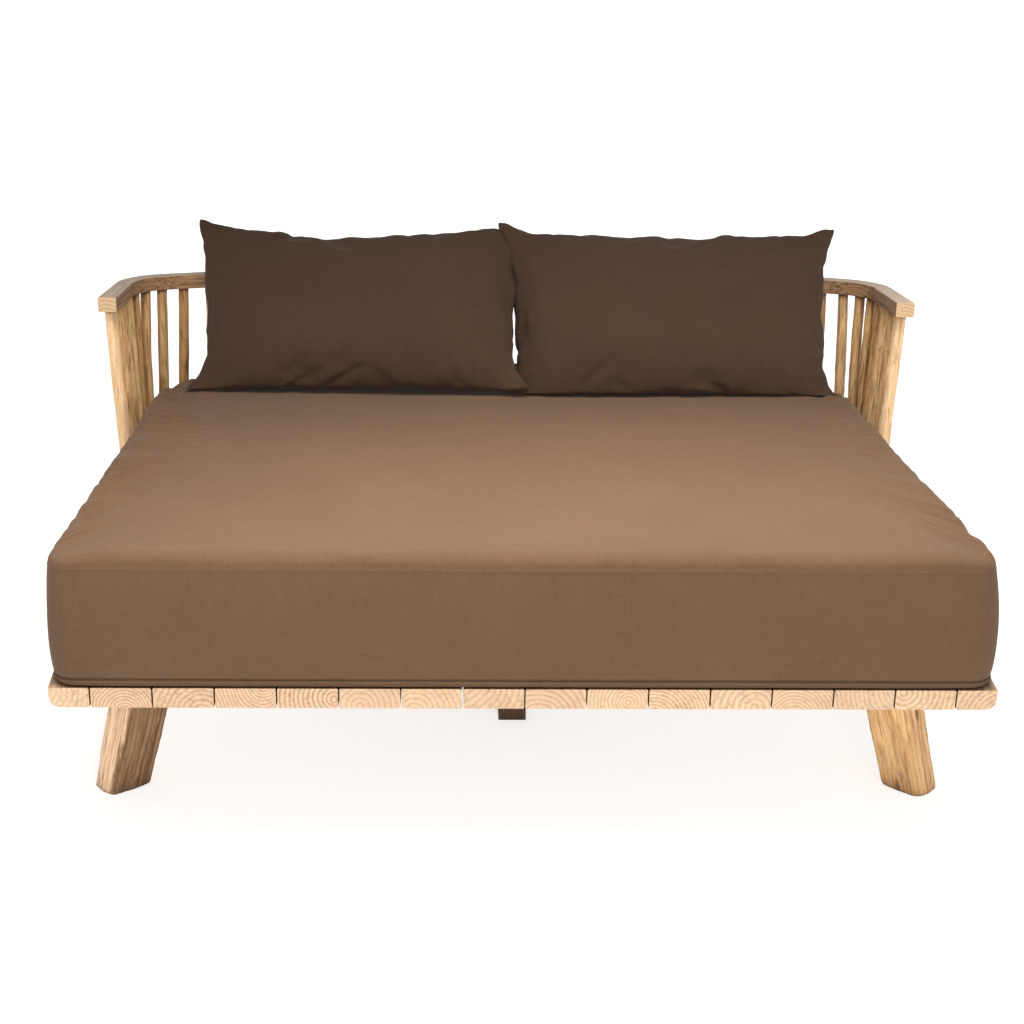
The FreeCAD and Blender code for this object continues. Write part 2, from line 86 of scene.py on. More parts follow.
class Nodes:
    """A material's node tree, with short calls for the nodes used here."""

    def __init__(self, name):
        self.material = bpy.data.materials.new(name)
        self.material.use_nodes = True
        self.tree = self.material.node_tree
        self.shader = self.tree.nodes["Principled BSDF"]
        self.object_coordinates = self.add("ShaderNodeTexCoord").outputs["Object"]

    def add(self, kind, inputs=None, **settings):
        node = self.tree.nodes.new(kind)
        for key, value in settings.items():
            setattr(node, key, value)
        for key, value in (inputs or {}).items():
            self.put(value, node.inputs[key])
        return node

    def put(self, value, socket):
        if isinstance(value, bpy.types.NodeSocket):
            self.tree.links.new(value, socket)
        else:
            socket.default_value = value

    def mapped(self, location=(0, 0, 0), rotation=(0, 0, 0), scale=(1, 1, 1), source=None):
        node = self.add("ShaderNodeMapping", {"Vector": source or self.object_coordinates,
                                              "Location": location, "Rotation": rotation, "Scale": scale})
        return node.outputs["Vector"]

    def noise(self, vector, scale, detail=3.0, roughness=0.55, distortion=0.0):
        node = self.add("ShaderNodeTexNoise", {"Vector": vector, "Scale": scale, "Detail": detail,
                                               "Roughness": roughness, "Distortion": distortion})
        return node.outputs["Fac"]

    def ramp(self, value, stops):
        node = self.add("ShaderNodeValToRGB", {"Fac": value})
        elements = node.color_ramp.elements
        while len(elements) < len(stops):
            elements.new(0.5)
        for element, (place, colour) in zip(elements, stops):
            element.position = place
            element.color = colour if len(colour) == 4 else (*colour, 1.0)
        return node.outputs["Color"]

    def grey(self, value, low, high, dark=0.0, light=1.0):
        return self.ramp(value, [(low, (dark,) * 3), (high, (light,) * 3)])

    def mix(self, kind, factor, first, second):
        node = self.add("ShaderNodeMix", data_type="RGBA", blend_type=kind)
        self.put(factor, node.inputs[0])
        self.put(first, node.inputs[6])
        self.put(second, node.inputs[7])
        return node.outputs[2]

    def math(self, operation, first, second=0.0):
        node = self.add("ShaderNodeMath", operation=operation)
        self.put(first, node.inputs[0])
        self.put(second, node.inputs[1])
        return node.outputs[0]

    def bump(self, height, strength, distance, normal=None):
        node = self.add("ShaderNodeBump", {"Height": height, "Strength": strength, "Distance": distance})
        if normal is not None:
            self.put(normal, node.inputs["Normal"])
        return node.outputs["Normal"]

    def finish(self, colour, roughness, normal):
        self.put(colour, self.shader.inputs["Base Color"])
        self.put(roughness, self.shader.inputs["Roughness"])
        self.put(normal, self.shader.inputs["Normal"])
        return self.material


# ---- wood ----

def wood(name, early, late, grain, pith, ring=0.0045, contrast=0.75, stains=0.25, streaks=0.4,
         knots=0.0, tint=1.0, weather=None, end_colour=None, brown_side=None):
    """Solid teak: growth rings round a pith line along the grain, with fibres, pores, streaks and knots.

    early and late are the two wood colours, each times tint; pith is a point on the pith line and ring the
    spacing of the growth rings, in metres; contrast, stains, streaks and knots are strengths.
    weather is the colour of surfaces that face up; end_colour that of sawn ends that face the front;
    brown_side is a direction in which the surface is dark: partly old heartwood, partly painted shade.
    """
    n = Nodes(name)
    to_grain = Vector(grain).normalized().rotation_difference(Vector((0, 0, 1))).to_euler()
    shifted = n.mapped(location=(-pith[0], -pith[1], -pith[2]))
    along = n.mapped(rotation=tuple(to_grain), source=shifted)
    stretched = n.mapped(scale=(1, 1, 0.06), source=along)
    early = tuple(c * tint for c in early)
    late = tuple(c * tint for c in late)
    middle = tuple((a * 3 + b) / 4 for a, b in zip(early, late))
    wave = n.add("ShaderNodeTexWave", {"Vector": stretched, "Scale": math.pi / (10 * ring),
                                       "Distortion": 7.0, "Detail": 2.5, "Detail Scale": 0.30,
                                       "Detail Roughness": 0.6},
                 wave_type="RINGS", rings_direction="Z", wave_profile="SAW").outputs["Fac"]
    rings = n.ramp(wave, [(0.0, early), (0.50, middle), (0.86, late), (0.94, late), (1.0, early)])
    plain = n.ramp(n.noise(stretched, 14.0, detail=3.0), [(0.3, middle), (0.7, early)])
    colour = n.mix("MIX", contrast, plain, rings)
    streak = n.noise(n.mapped(scale=(1, 1, 0.035), source=along), 190.0, detail=4.0, distortion=0.6)
    streak_tones = n.ramp(streak, [(0.34, (0.42, 0.33, 0.26)), (0.50, (1.0, 1.0, 1.0)),
                                   (0.70, (1.16, 1.12, 1.06))])
    colour = n.mix("MULTIPLY", streaks, colour, streak_tones)
    fibres = n.noise(n.mapped(scale=(1, 1, 0.025), source=along), 900.0, detail=4.0, roughness=0.7)
    colour = n.mix("MULTIPLY", 0.5, colour, n.grey(fibres, 0.3, 0.62, 0.5, 1.12))
    pores = n.noise(n.mapped(scale=(1, 1, 0.02), source=along), 2400.0, detail=2.0)
    colour = n.mix("MULTIPLY", 0.4, colour, n.grey(pores, 0.36, 0.46, 0.4, 1.0))
    dark = tuple(c * 0.28 for c in late)
    blotch = n.noise(n.mapped(scale=(1, 1, 0.35), source=along), 22.0, detail=4.0, distortion=0.8)
    colour = n.mix("MIX", n.math("MULTIPLY", n.grey(blotch, 0.58, 0.74), stains), colour, (*dark, 1.0))
    if knots:
        knot_space = n.mapped(scale=(1, 1, 0.45), source=along)
        cells = n.add("ShaderNodeTexVoronoi", {"Vector": knot_space, "Scale": 21.0})
        spot = n.math("MULTIPLY", n.grey(cells.outputs["Distance"], 0.05, 0.20, 1.0, 0.0), knots)
        colour = n.mix("MIX", spot, colour, (*dark, 1.0))
    outward = n.add("ShaderNodeNewGeometry").outputs["Normal"]
    facing = n.add("ShaderNodeSeparateXYZ", {"Vector": outward})
    # Partly painted shade: faces turned toward brown_side are darkened, partly as old heartwood and partly
    # as the shade on that side.
    if brown_side is not None:
        toward = n.add("ShaderNodeVectorMath", {0: outward, 1: brown_side}, operation="DOT_PRODUCT")
        turned = n.grey(toward.outputs["Value"], 0.25, 0.55)
        cover = n.math("MULTIPLY", turned, n.grey(streak, 0.25, 0.6, 1.0, 0.85))
        heartwood_and_shade = n.mix("MULTIPLY", 0.7, (*HEARTWOOD_AND_SHADE, 1.0), n.grey(streak, 0.3, 0.65, 0.35, 1.3))
        colour = n.mix("MIX", cover, colour, heartwood_and_shade)
    # Painted shade: the colour is darkened where ambient occlusion finds gaps, crevices and contacts
    # between parts.
    crevice = n.add("ShaderNodeAmbientOcclusion", {"Distance": 0.055}, samples=6).outputs["AO"]
    painted_crevice_shade = n.ramp(crevice, [(0.22, (0.10, 0.06, 0.03)), (0.56, (0.58, 0.50, 0.42)),
                               (0.78, (1.0, 1.0, 1.0))])
    colour = n.mix("MULTIPLY", 1.0, colour, painted_crevice_shade)
    if weather is not None:
        upward = n.grey(facing.outputs["Z"], 0.55, 0.9)
        cover = n.math("MULTIPLY", upward, n.grey(streak, 0.30, 0.60, 0.45, 0.95))
        colour = n.mix("MIX", cover, colour, (*weather, 1.0))
    if end_colour is not None:
        forward = n.grey(n.math("MULTIPLY", facing.outputs["Y"], -1.0), 0.8, 0.95, 0.0, 0.75)
        end_rings = n.mix("MULTIPLY", 0.6, (*end_colour, 1.0), n.grey(wave, 0.4, 0.95, 1.1, 0.55))
        colour = n.mix("MIX", forward, colour, end_rings)
    height = n.math("ADD", n.math("MULTIPLY", wave, 0.25), n.math("ADD", fibres, streak))
    normal = n.bump(height, 0.5, 0.0014)
    n.shader.inputs["Specular IOR Level"].default_value = 0.3
    return n.finish(colour, n.grey(fibres, 0.2, 0.8, 0.58, 0.82), normal)


PALE_EARLY = (0.76, 0.54, 0.35)
PALE_LATE = (0.36, 0.165, 0.065)
TAN_EARLY = (0.76, 0.47, 0.22)
TAN_LATE = (0.34, 0.16, 0.055)
SAP_EARLY = (0.95, 0.68, 0.44)
RAIL_EARLY = (0.34, 0.20, 0.10)
RAIL_LATE = (0.13, 0.068, 0.03)
# Very dark tone for the parts under the bed: partly darker wood, partly painted shade.
DARK_AND_SHADED_EARLY = (0.10, 0.05, 0.02)
DARK_AND_SHADED_LATE = (0.035, 0.016, 0.007)
GREY_WEATHER = (0.52, 0.41, 0.31)
SAWN_END = (0.66, 0.45, 0.26)
# Tone of the dark side of the two-toned leg: partly heartwood, partly painted shade.
HEARTWOOD_AND_SHADE = (0.15, 0.07, 0.022)


def give(node_name, material):
    """Puts one material on every face of a CAD node."""
    mesh = NODES[node_name].data
    mesh.materials.clear()
    mesh.materials.append(material)


def finish_planks():
    """Boards sawn from different places in the log, so each has its own rings and tint."""
    random.seed(11)
    for name in sorted(NODES):
        if not name.startswith("plank_") or name == "plank_screws":
            continue
        low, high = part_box(name)
        middle = (low + high) / 2
        side = random.choice((-1, 1, 1))
        pith = (middle.x + random.uniform(-0.05, 0.05), 0.0,
                middle.z - side * random.uniform(0.004, 0.05))
        lean = (random.uniform(-0.02, 0.02), 1.0, random.uniform(-0.01, 0.01))
        give(name, wood("teak_" + name, PALE_EARLY, PALE_LATE, lean, pith,
                        ring=random.uniform(0.0055, 0.0105), contrast=random.uniform(0.35, 0.75),
                        tint=random.uniform(0.90, 1.06), stains=random.uniform(0.1, 0.35),
                        streaks=random.uniform(0.2, 0.5)))


def finish_rail():
    """Segments with the grain along each one, grey on top where the weather reaches."""
    random.seed(23)
    for name in sorted(NODES):
        if not name.startswith("rail_") or name == "rail_dowels":
            continue
        low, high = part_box(name)
        middle = (low + high) / 2
        along = (0.0, 1.0, 0.0)
        if "corner" in name or name in ("rail_back_left", "rail_back_right"):
            slope = (high.y - low.y) * (-1 if middle.x > 0 else 1)
            along = (high.x - low.x, slope, 0.0)
        if name == "rail_back_centre":
            along = (1.0, 0.0, 0.0)
        pith = (middle.x, middle.y + random.uniform(0.02, 0.05), middle.z - random.uniform(0.02, 0.06))
        warm = 1.45 if name.startswith("rail_back") else 1.0
        early = tuple(c * warm for c in RAIL_EARLY)
        late = tuple(c * warm for c in RAIL_LATE)
        end_colour = SAWN_END if "arm" in name else None
        give(name, wood("teak_" + name, early, late, along, pith, ring=random.uniform(0.006, 0.009),
                        contrast=0.4, weather=GREY_WEATHER, end_colour=end_colour,
                        tint=random.uniform(1.0, 1.3), stains=0.9, streaks=1.0, knots=0.5))


def finish_plain_parts():
    """Bearers and centre legs very dark, partly darker wood and partly painted shade from under the bed;
    dowels in pale wood, and the steel fasteners.
    """
    random.seed(31)
    for name in ("bearer_front", "bearer_centre_front", "bearer_centre_rear", "bearer_rear"):
        low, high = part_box(name)
        pith = (0.0, high.y + random.uniform(0.0, 0.06), low.z - 0.03)
        give(name, wood("dark_" + name, DARK_AND_SHADED_EARLY, DARK_AND_SHADED_LATE, (1, 0, 0), pith, ring=0.006))
    for name in ("centre_leg_front", "centre_leg_rear"):
        low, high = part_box(name)
        pith = (low.x - 0.01, low.y, 0)
        give(name, wood("dark_" + name, DARK_AND_SHADED_EARLY, DARK_AND_SHADED_LATE, (0, 0, 1), pith, ring=0.006))
    give("rail_dowels", wood("dowel_wood", PALE_EARLY, PALE_LATE, (1, 0, 0), (0, 0, 0.7)))
    steel = zinc_steel()
    give("plank_screws", steel)
    give("leg_bolts", steel)


def zinc_steel():
    """Galvanised steel with a faint spangle."""
    n = Nodes("zinc_steel")
    spots = n.noise(n.object_coordinates, 700.0, detail=2.0)
    colour = n.ramp(spots, [(0.3, (0.45, 0.45, 0.46)), (0.7, (0.62, 0.62, 0.64))])
    n.shader.inputs["Metallic"].default_value = 1.0
    return n.finish(colour, n.grey(spots, 0.2, 0.8, 0.3, 0.5), n.bump(spots, 0.1, 0.0003))


# ---- mesh helpers ----

def skin(bm, loops, material_index=0):
    """Joins each loop of vertices to the next with a closed band of quads."""
    for lower, upper in zip(loops, loops[1:]):
        for index in range(len(lower)):
            after = (index + 1) % len(lower)
            face = bm.faces.new((lower[index], lower[after], upper[after], upper[index]))
            face.material_index = material_index


def object_from(bm, name, *materials):
    """A smooth-shaded object from a finished bmesh."""
    bmesh.ops.recalc_face_normals(bm, faces=bm.faces)
    mesh = bpy.data.meshes.new(name)
    bm.to_mesh(mesh)
    bm.free()
    for face in mesh.polygons:
        face.use_smooth = True
    for material in materials:
        mesh.materials.append(material)
    piece = bpy.data.objects.new(name, mesh)
    bpy.context.scene.collection.objects.link(piece)
    return piece

def apply_modifiers(piece):
    """Replaces an object's mesh with its evaluated one, and drops its modifiers."""
    depsgraph = bpy.context.evaluated_depsgraph_get()
    final = bpy.data.meshes.new_from_object(piece.evaluated_get(depsgraph))
    piece.modifiers.clear()
    piece.data = final

# ---- branches: spindles and posts ----

def branch_mesh(bm, foot, head, radius_low, radius_high, seed, tone):
    """Adds one peeled branch between two points: slightly bent, uneven, with a few knots."""
    random.seed(seed)
    sides = 18
    steps = 44
    uneven = 0.0009
    waviness = 0.0010
    taper_noise = 0.045
    collar_width = 0.006
    knot_area = 0.00004
    axis = head - foot
    length = axis.length
    along = axis.normalized()
    across = along.cross(Vector((0, 1, 0))).normalized()
    outward = along.cross(across).normalized()
    bend_a = random.uniform(-0.0035, 0.0035)
    bend_b = random.uniform(-0.0035, 0.0035)
    turn = random.uniform(0, math.tau)
    knots = [(random.uniform(0.12, 0.9), random.uniform(0, math.tau), random.uniform(0.0012, 0.0028))
             for _ in range(random.choice((1, 2, 2, 3)))]
    collar_place = random.uniform(0.2, 0.85)
    collar_height = random.choice((0.0, 0.0, 0.0009, 0.0015))
    rings = []
    for step in range(steps + 1):
        t = step / steps
        bow = math.sin(math.pi * t)
        wobble = math.sin(math.tau * t + turn) * bow
        centre = foot + axis * t + across * (bend_a * bow + waviness * wobble) + outward * bend_b * bow
        radius = radius_low + (radius_high - radius_low) * t
        radius *= 1 + taper_noise * noise.noise(Vector((seed * 3.1, t * 5.0, 0)))
        radius += collar_height * math.exp(-((t - collar_place) * length / collar_width) ** 2)
        ring = []
        for side in range(sides):
            angle = math.tau * side / sides
            around = Vector((math.cos(angle) * 1.3, math.sin(angle) * 1.3 + seed, t * 9))
            bump = uneven * noise.noise(around)
            for place, facing, height in knots:
                gap = math.atan2(math.sin(angle - facing), math.cos(angle - facing)) * radius
                near = ((t - place) * length) ** 2 + gap ** 2
                bump += height * math.exp(-near / knot_area)
            arm = radius + bump
            spot = centre + across * math.cos(angle) * arm + outward * math.sin(angle) * arm
            ring.append(bm.verts.new(spot))
        rings.append(ring)
    skin(bm, rings, tone)
    bm.faces.new(reversed(rings[0]))
    bm.faces.new(rings[-1])


def branch_ends(points):
    """Where a CAD spindle's axis meets the plank tops and the rail, from its points."""
    level_tolerance = 0.0006
    ends = []
    for height in (PLATFORM_TOP, RAIL_BOTTOM):
        near = points[np.abs(points[:, 2] - height) < level_tolerance]
        low = near.min(0)
        high = near.max(0)
        ends.append(Vector(((low[0] + high[0]) / 2, (low[1] + high[1]) / 2, height)))
    return ends


def solids_of(mesh):
    """The vertex positions of each separate solid in a mesh."""
    bm = bmesh.new()
    bm.from_mesh(mesh)
    bmesh.ops.remove_doubles(bm, verts=bm.verts, dist=0.00001)
    left = set(bm.verts)
    groups = []
    while left:
        edge_of_group = [left.pop()]
        group = []
        while edge_of_group:
            vert = edge_of_group.pop()
            group.append(tuple(vert.co))
            for link in vert.link_edges:
                other = link.other_vert(vert)
                if other in left:
                    left.discard(other)
                    edge_of_group.append(other)
        groups.append(np.array(group))
    bm.free()
    groups.sort(key=lambda points: tuple(points.mean(0).round(4)))
    return groups


def make_spindles():
    """Every spindle and post as a peeled branch on its CAD axis."""
    tones = (((0.76, 0.48, 0.21), (0.42, 0.20, 0.07), 0.35),
             ((0.64, 0.37, 0.15), (0.32, 0.14, 0.05), 0.60),
             ((0.86, 0.58, 0.29), (0.50, 0.26, 0.10), 0.25),
             ((0.72, 0.46, 0.21), (0.36, 0.17, 0.06), 0.45))
    kinds = [wood("branch_%d" % kind, early, late, (0, 0, 1), (0.3 * kind, -0.9, 0), ring=0.011,
                  contrast=0.35, stains=stain, streaks=0.9, knots=0.6)
             for kind, (early, late, stain) in enumerate(tones)]
    post_wood = wood("branch_post", (0.82, 0.56, 0.32), (0.52, 0.27, 0.11), (0, 0, 1), (1.2, 0.1, 0),
                     ring=0.012, contrast=0.35, stains=0.2, streaks=0.6)
    spindle_radii = (0.0135, 0.0125)
    post_radii = (0.0160, 0.0145)
    names = [name for name in sorted(NODES) if "spindle" in name or name.endswith("front_post")]
    seed = 100
    for name in names:
        is_post = name.endswith("front_post")
        low_radius, high_radius = post_radii if is_post else spindle_radii
        bm = bmesh.new()
        for points in solids_of(NODES[name].data):
            foot, head = branch_ends(points)
            seed += 1
            tone = 0 if is_post else seed % len(kinds)
            branch_mesh(bm, foot, head, low_radius, high_radius, seed, tone)
        piece = object_from(bm, name + "_branch", *([post_wood] if is_post else kinds))
        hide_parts(name)
        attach(piece, "frame")


# ---- rough legs ----

LEG_SPLAY_X = 0.050
LEG_SPLAY_Y = 0.032
LEG_RISE = 0.214
LEG_VOXEL = 0.003


def make_legs():
    """Corner legs as rough half-round logs, over the shape of the CAD legs."""
    random.seed(47)
    for name in ("front_leg_left", "front_leg_right", "rear_leg_left", "rear_leg_right"):
        low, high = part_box(name)
        piece = bpy.data.objects.new(name + "_hewn", NODES[name].data.copy())
        bpy.context.scene.collection.objects.link(piece)
        remesh = piece.modifiers.new("remesh", "REMESH")
        remesh.mode = "VOXEL"
        remesh.voxel_size = LEG_VOXEL
        apply_modifiers(piece)
        rough = 1.6 if name.endswith("left") else 0.8
        weather_leg(piece.data, low.z, high.z, rough)
        outward = 1 if low.x > 0 else -1
        rearward = 1 if low.y > 0 else -1
        grain = (-outward * LEG_SPLAY_X, -rearward * LEG_SPLAY_Y, LEG_RISE)
        pith = ((low.x + high.x) / 2 + outward * 0.02, (low.y + high.y) / 2 + 0.03, 0.1)
        mesh = piece.data
        mesh.materials.clear()
        # The front left leg is two-toned: pale sapwood, and a dark right front side that is partly
        # heartwood, partly painted shade.
        two_toned = name == "front_leg_left"
        early = SAP_EARLY if two_toned else TAN_EARLY
        brown_side = (0.8, -0.6, 0.0) if two_toned else None
        mesh.materials.append(wood("teak_" + name, early, TAN_LATE, grain, pith, ring=0.011, contrast=0.35,
                                   tint=random.uniform(0.95, 1.1), stains=0.6, streaks=0.9, knots=0.9,
                                   brown_side=brown_side))
        for face in mesh.polygons:
            face.use_smooth = True
        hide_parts(name)
        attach(piece, "frame")


def weather_leg(mesh, floor, top, rough):
    """Long hollows, adze marks, and a few knot holes; the foot and the head stay level."""
    hollow_depth = 0.0021
    adze_depth = 0.0007
    fibre_depth = 0.0008
    hole_depth = 0.0022
    offset = Vector((random.uniform(0, 50), random.uniform(0, 50), 0))
    holes = [(random.choice(mesh.vertices).co.copy(), random.uniform(0.005, 0.010)) for _ in range(5)]
    moved = []
    for vert in mesh.vertices:
        hollow = noise.noise(Vector((vert.co.x * 24, vert.co.y * 24, vert.co.z * 7)) + offset)
        adze = noise.noise(Vector((vert.co.x * 60, vert.co.y * 60, vert.co.z * 38)) + offset)
        fibre = noise.noise(Vector((vert.co.x * 210, vert.co.y * 210, vert.co.z * 14)) + offset)
        push = rough * (hollow_depth * hollow + adze_depth * adze) + fibre_depth * fibre
        for centre, radius in holes:
            gap = vert.co - centre
            gap.z *= 0.5
            push -= hole_depth * rough * math.exp(-(gap.length / radius) ** 2)
        moved.append(vert.co + vert.normal * push)
    for vert, place in zip(mesh.vertices, moved):
        vert.co = (place.x, place.y, min(max(place.z, floor), top))


# ---- fabric ----

def canvas(name, colour):
    """Plain-woven outdoor canvas: crossing yarns, slubs, slightly uneven dye and a faint sheen."""
    yarn_pitch = 0.0011
    n = Nodes(name)
    facing = n.add("ShaderNodeSeparateXYZ", {"Vector": n.add("ShaderNodeNewGeometry").outputs["Normal"]})
    weave = 0.0
    for axis in "XYZ":
        wave = {"Vector": n.object_coordinates, "Scale": math.pi / (10 * yarn_pitch), "Distortion": 0.6,
                "Detail": 1.0}
        yarns = n.add("ShaderNodeTexWave", wave, wave_type="BANDS", bands_direction=axis).outputs["Fac"]
        in_plane = n.math("SUBTRACT", 1.0, n.math("ABSOLUTE", facing.outputs[axis]))
        weave = n.math("ADD", n.math("MULTIPLY", yarns, in_plane), weave)
    weave = n.math("MULTIPLY", weave, 0.5)
    slub_x = n.noise(n.mapped(scale=(0.05, 1, 1)), 700.0, detail=2.0)
    slub_y = n.noise(n.mapped(scale=(1, 0.05, 0.05)), 700.0, detail=2.0)
    cloudy = n.noise(n.object_coordinates, 5.0, detail=4.0)
    dark = tuple(c * 0.95 for c in colour)
    light = tuple(c * 1.04 for c in colour)
    base = n.ramp(cloudy, [(0.3, dark), (0.7, light)])
    base = n.mix("MULTIPLY", 0.35, base, n.grey(slub_x, 0.3, 0.7, 0.75, 1.15))
    base = n.mix("MULTIPLY", 0.35, base, n.grey(slub_y, 0.3, 0.7, 0.75, 1.15))
    base = n.mix("MULTIPLY", 0.3, base, n.grey(weave, 0.1, 0.9, 0.7, 1.25))
    wrinkles = n.noise(n.object_coordinates, 28.0, detail=3.0)
    normal = n.bump(weave, 0.25, 0.0004)
    normal = n.bump(slub_x, 0.2, 0.0004, normal)
    normal = n.bump(wrinkles, 0.12, 0.004, normal)
    n.shader.inputs["Sheen Weight"].default_value = 0.05
    n.shader.inputs["Sheen Roughness"].default_value = 0.5
    n.shader.inputs["Specular IOR Level"].default_value = 0.1
    return n.finish(base, n.grey(slub_y, 0.2, 0.8, 0.82, 0.95), normal)


MATTRESS_BROWN = (0.125, 0.071, 0.0395)
# The cushion canvas is the mattress canvas darkened: partly a slightly darker cloth, partly painted shade
# for the dim back of the bed.
CUSHION_BROWN_AND_PAINTED_SHADE = (0.053, 0.0285, 0.0163)


# ---- mattress ----

MATTRESS_HEIGHT = MATTRESS_HIGH.z - MATTRESS_LOW.z
LOWER_SEAM = 0.011
UPPER_SEAM = MATTRESS_HEIGHT - 0.0095
PIPING = 0.0026
OUTLINE_SPACING = 0.0065
TOP_RINGS = 46
SPINE_HALF = 0.45
SPINE_STEP = 0.010


def mattress_outline(spacing):
    """Plan outline of the mattress as points, starting at the middle of the front, to the right."""
    front_half = 0.806
    side = MATTRESS_HIGH.x
    front_radius = 0.045
    corner = 0.280
    bow = 2.270
    bow_centre = MATTRESS_HIGH.y - bow
    corner_x = side - corner
    reach = bow - corner
    corner_y = bow_centre + math.sqrt(reach ** 2 - corner_x ** 2)
    bow_angle = math.asin(corner_x / reach)
    front = MATTRESS_LOW.y

    def run(start, end):
        count = max(2, round((end - start).length / spacing))
        return [start.lerp(end, step / count) for step in range(count)]

    def arc(centre, radius, first, last):
        count = max(3, round(radius * abs(last - first) / spacing))
        turns = [first + (last - first) * step / count for step in range(count)]
        return [centre + Vector((math.sin(turn), math.cos(turn))) * radius for turn in turns]

    right = run(Vector((0, front)), Vector((front_half - front_radius, front)))
    turn_centre = Vector((front_half - front_radius, front + front_radius))
    right += arc(turn_centre, front_radius, math.pi, math.pi / 2)
    right += run(Vector((front_half, front + front_radius)), Vector((side, corner_y)))
    right += arc(Vector((corner_x, corner_y)), corner, math.pi / 2, bow_angle)
    right += arc(Vector((0, bow_centre)), bow, bow_angle, 0.0)
    right.append(Vector((0, MATTRESS_HIGH.y)))
    left = [Vector((-point.x, point.y)) for point in reversed(right[1:-1])]
    return right + left


def outline_normals(points):
    """Outward directions, averaged over a few neighbours so that the corners stay smooth."""
    count = len(points)
    normals = []
    for index in range(count):
        tangent = (points[(index + 2) % count] - points[index - 2]).normalized()
        normals.append(Vector((tangent.y, -tangent.x)))
    return normals


def front_corner(place):
    """1 at the two front corners, fading to 0 some 10 cm away."""
    away_x = abs(abs(place.x) - 0.80)
    away_y = abs(place.y - MATTRESS_LOW.y)
    return math.exp(-(away_x ** 2 + away_y ** 2) / 0.0045)


def mattress_profile():
    """(inset, height) rows: lower edge, piping in its groove, side drawn in above, upper seam."""
    rows = [(0.016, 0.0), (0.009, 0.0004), (0.004, 0.0018), (0.0022, 0.0040), (0.0050, LOWER_SEAM - 0.0036)]
    for step in range(7):
        turn = math.pi * step / 6
        rows.append((0.0016 - PIPING * math.sin(turn), LOWER_SEAM - PIPING * math.cos(turn)))
    rows.append((0.0052, LOWER_SEAM + 0.0036))
    side_rows = 22
    low = LOWER_SEAM + 0.0070
    high = UPPER_SEAM - 0.005
    for row in range(side_rows + 1):
        t = row / side_rows
        rows.append((0.0010 - 0.0045 * math.sin(math.pi * t) ** 0.7 * (1 - 0.4 * t) + 0.0090 * t ** 2.5,
                     low + (high - low) * t))
    rows += [(0.0098, UPPER_SEAM - 0.0020), (0.0106, UPPER_SEAM - 0.0010), (0.0110, UPPER_SEAM)]
    return rows


def side_wrinkle(place, z):
    """Slack in the side panels: soft upright waves, stronger toward both seams."""
    t = z / MATTRESS_HEIGHT
    soft = noise.noise(Vector((place.x * 5, place.y * 5, t * 1.5 + 4.0)))
    pucker = noise.noise(Vector((place.x * 34, place.y * 34, t * 2.0)))
    near_seam = math.exp(-min(t, 1 - t) / 0.09)
    return 0.0022 * soft * math.sin(math.pi * t) + 0.0011 * pucker * near_seam


def top_height(place, edge, inward, outer):
    """Height of the top panel: a rolled shoulder over the seam, gathers from the sides, a level middle.

    outer falls from 1 at the edge to 0 at the middle line, where every way in must agree.
    """
    shoulder_width = 0.031
    front_rise = 0.0260
    side_drop = 0.0100
    gather_reach = 0.13
    ridge_height = 0.0230
    valley_depth = 0.0090
    waver = noise.noise(Vector((place.x * 9, place.y * 9, 2.0)))
    roll = min(1.0, inward / (shoulder_width + 0.015 * waver))
    at_side = min(1.0, max(0.0, (abs(edge.x) - 0.70) / 0.10))
    rise = front_rise - side_drop * at_side
    shoulder = rise * math.sqrt(1 - (1 - roll) ** 2)
    settle = (MATTRESS_HEIGHT - UPPER_SEAM - rise) * (1 - outer * math.exp(-max(0.0, inward - 0.06) / 0.30))
    side = math.copysign(1, edge.x)
    across = edge.y * 20 + 5 * abs(place.x)
    ridge = 1 - abs(noise.noise(Vector((abs(place.x) * 3.0, across, 11.0 * side))))
    fine = noise.noise(Vector((place.x * 5, place.y * 30, 5.0)))
    reach = math.exp(-inward / gather_reach) * (1 - math.exp(-inward / 0.015))
    patch = max(0.50, 0.85 + 0.9 * noise.noise(Vector((edge.y * 2.3, 3.0 * side, 1.0))))
    strength = 1.3 if side < 0 else 0.9
    folds = ridge_height * ridge ** 4 - valley_depth + 0.0020 * fine
    gather = outer * at_side * reach * strength * patch * folds
    front_pucker = noise.noise(Vector((place.x * 24, place.y * 7, 9.0)))
    front_soft = noise.noise(Vector((place.x * 7, place.y * 10, 31.0)))
    band = math.exp(-((inward - 0.055) / 0.026) ** 2)
    puckers = (1 - at_side) * band * (0.0014 * front_pucker + 0.0042 * front_soft)
    slack = 0.0022 * noise.noise(Vector((place.x * 2.6, place.y * 4.2, 7.0)))
    slack *= 1 - outer * math.exp(-inward / 0.1)
    return MATTRESS_LOW.z + UPPER_SEAM + shoulder + settle + gather + puckers + slack


def side_loops(bm, outline):
    """Loops of vertices from the bottom edge up to the upper seam."""
    normals = outline_normals(outline)
    loops = []
    for inset, z in mattress_profile():
        loop = []
        for place, normal in zip(outline, normals):
            tucked = 0.003 * front_corner(place) * math.exp(-z / 0.018)
            out = side_wrinkle(place, z) - inset - tucked
            point = place + normal * out
            point.x -= 0.005 * (z / MATTRESS_HEIGHT) ** 2.5
            loop.append(bm.verts.new((point.x, point.y, MATTRESS_LOW.z + z)))
        loops.append(loop)
    return loops


